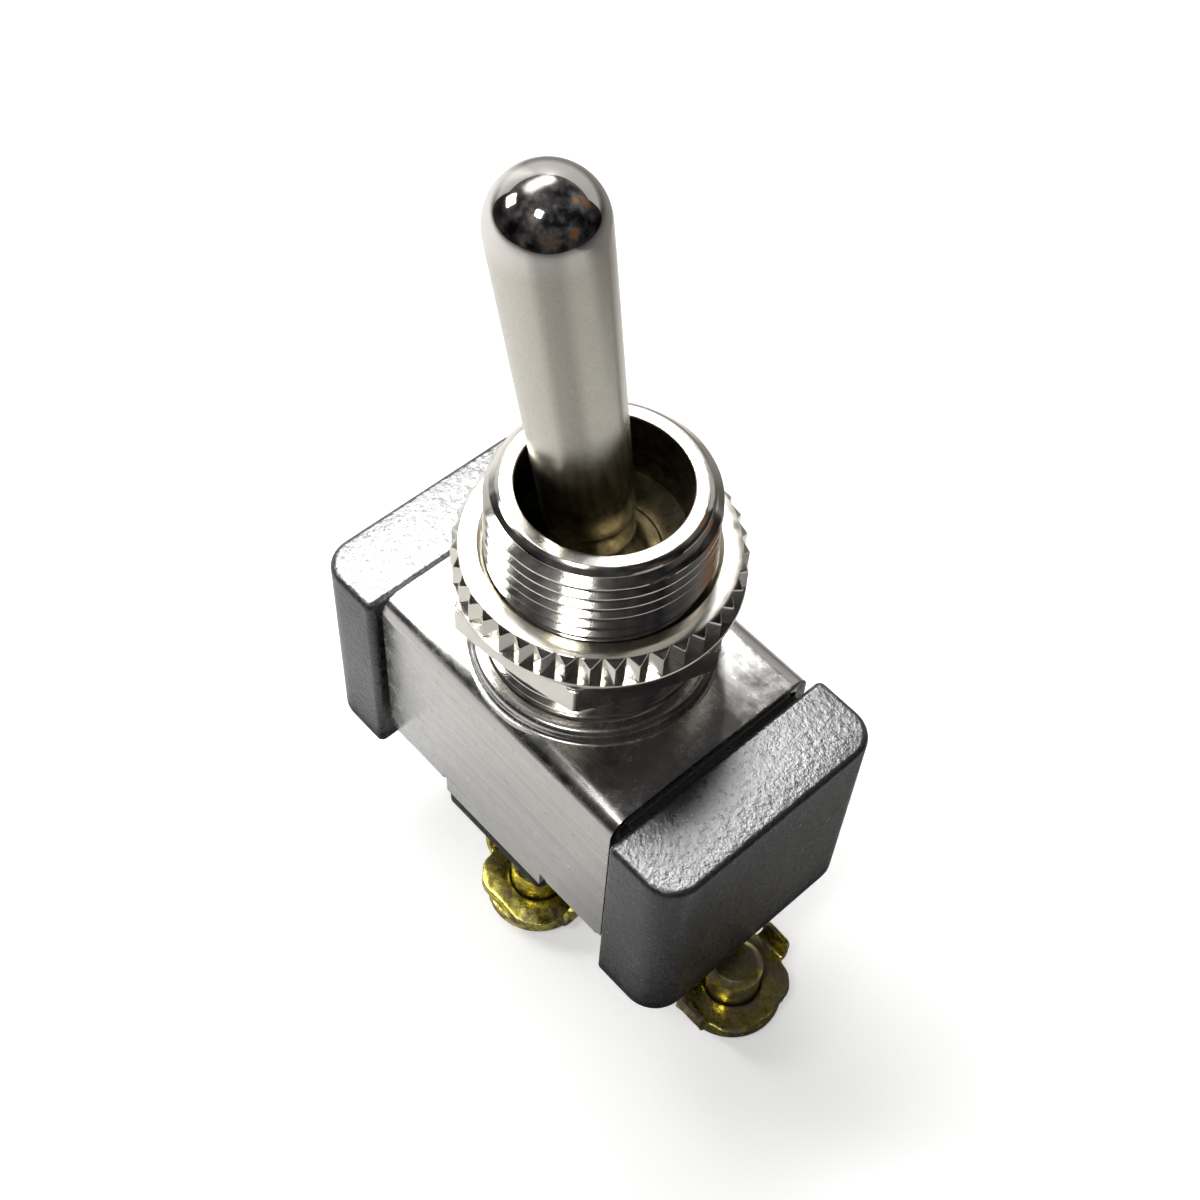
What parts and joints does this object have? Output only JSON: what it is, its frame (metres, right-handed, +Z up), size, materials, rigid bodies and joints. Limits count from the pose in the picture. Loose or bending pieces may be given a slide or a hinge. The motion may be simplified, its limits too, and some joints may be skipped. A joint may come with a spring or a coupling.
{
  "type": "toggle switch",
  "caption": "Panel-mount toggle switch: metal bat handle, threaded bushing with hex and knurled nuts, steel frame over a black moulded base, and brass screw terminals below.",
  "frame": {"origin": "on the bushing's axis, in the plane where the top of the hex back nut meets the panel", "axes": "+Z up the bushing towards the handle, +X along the body's length towards the end terminal, +Y across the body; the handle swings in the XZ plane"},
  "size_m": [0.0314, 0.0158, 0.0536],
  "materials": {
    "black_moulding": "moulded phenolic, satin black",
    "plated_steel": "bright plated sheet with fine rolling lines",
    "fibre_card": "pressed fibre card",
    "nickel_plate": "bright nickel plate",
    "satin_nickel": "tumbled satin nickel",
    "bare_steel": "ground steel",
    "spring_steel": "drawn spring wire",
    "yellow_brass": "bright stamped brass",
    "brown_laminate": "phenolic laminate",
    "spring_copper": "phosphor bronze strip",
    "contact_silver": "silver contact metal"
  },
  "bodies": {
    "housing": {"base": "black_moulding", "frame": "plated_steel", "insulator_card": "fibre_card", "bushing": "nickel_plate", "common_bracket": "yellow_brass", "common_rivet": "yellow_brass", "common_terminal": "yellow_brass", "contact_rivet": "contact_silver", "end_terminal": "yellow_brass"},
    "handle": {"bat_handle": "satin_nickel", "pivot_pin": "bare_steel", "handle_spring": "spring_steel"},
    "plunger": {"plunger": "yellow_brass"},
    "rocker": {"driver_block": "brown_laminate", "contact_blade": "spring_copper", "moving_contact": "contact_silver"},
    "hex_nut": {"hex_nut": "nickel_plate"},
    "ring_nut": {"ring_nut": "nickel_plate"},
    "end_screw": {"end_screw": "yellow_brass"},
    "common_screw": {"common_screw": "yellow_brass"}
  },
  "joints": [
    {"name": "handle_swing", "type": "hinge", "parent": "housing", "child": "handle", "pos_m": [0, 0, -0.0007], "axis": [0, 1, 0], "range_deg": [0, 25.2]},
    {"name": "rocker_tilt", "type": "hinge", "parent": "housing", "child": "rocker", "pos_m": [0, 0, -0.0161], "axis": [0, 1, 0], "range_deg": [-14, 0]},
    {"name": "plunger_slide", "type": "slide", "parent": "handle", "child": "plunger", "axis": [-0.2181, 0, 0.9759], "range_m": [0, 0.0007], "stiffness_N_per_m": 400, "springref_m": -0.002, "deforming": ["handle_spring"]},
    {"name": "ring_nut_travel", "type": "slide", "parent": "housing", "child": "ring_nut", "axis": [0, 0, 1], "range_m": [0, 0.0046]},
    {"name": "hex_nut_travel", "type": "slide", "parent": "housing", "child": "hex_nut", "axis": [0, 0, 1], "range_m": [-0.0035, 0]},
    {"name": "end_screw_travel", "type": "slide", "parent": "housing", "child": "end_screw", "axis": [0, 0, -1], "range_m": [0, 0.002]},
    {"name": "common_screw_travel", "type": "slide", "parent": "housing", "child": "common_screw", "axis": [0, 0, -1], "range_m": [0, 0.002]}
  ],
  "couplings": [
    {"joint": "rocker_tilt", "follows": "handle_swing", "ratio": -0.55556}
  ]
}
